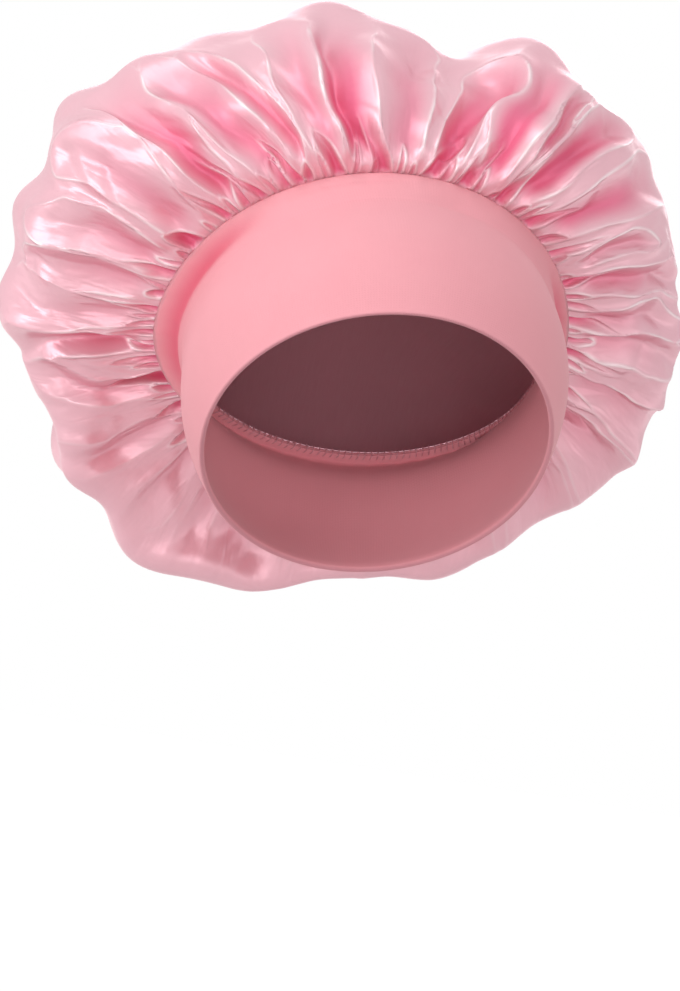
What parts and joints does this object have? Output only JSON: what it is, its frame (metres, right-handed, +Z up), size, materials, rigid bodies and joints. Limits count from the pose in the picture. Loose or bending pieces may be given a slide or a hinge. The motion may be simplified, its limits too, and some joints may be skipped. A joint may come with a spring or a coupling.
{
  "type": "satin sleep cap",
  "caption": "Round satin sleep cap, gathered full onto a wide folded stretch-knit band that grips the head and keeps hair covered overnight.",
  "frame": {"origin": "centre of the head opening, in the plane of the band's folded lower edge", "axes": "+Z up as worn on an upright head, -Y towards the wearer's front, +X to the wearer's left; the band's plane leans back 38 degrees"},
  "size_m": [0.3199, 0.2604, 0.2591],
  "materials": {
    "band_knit": "matte fine stretch knit, folded double",
    "crown_satin": "glossy polyester satin with soft pale highlights",
    "sewing_thread": "spun polyester thread"
  },
  "bodies": {
    "root": {"headband": "band_knit", "crown_panel": "crown_satin", "seam_needle_thread": "sewing_thread", "seam_overlock_thread": "sewing_thread", "band_join_thread": "sewing_thread"}
  },
  "joints": []
}
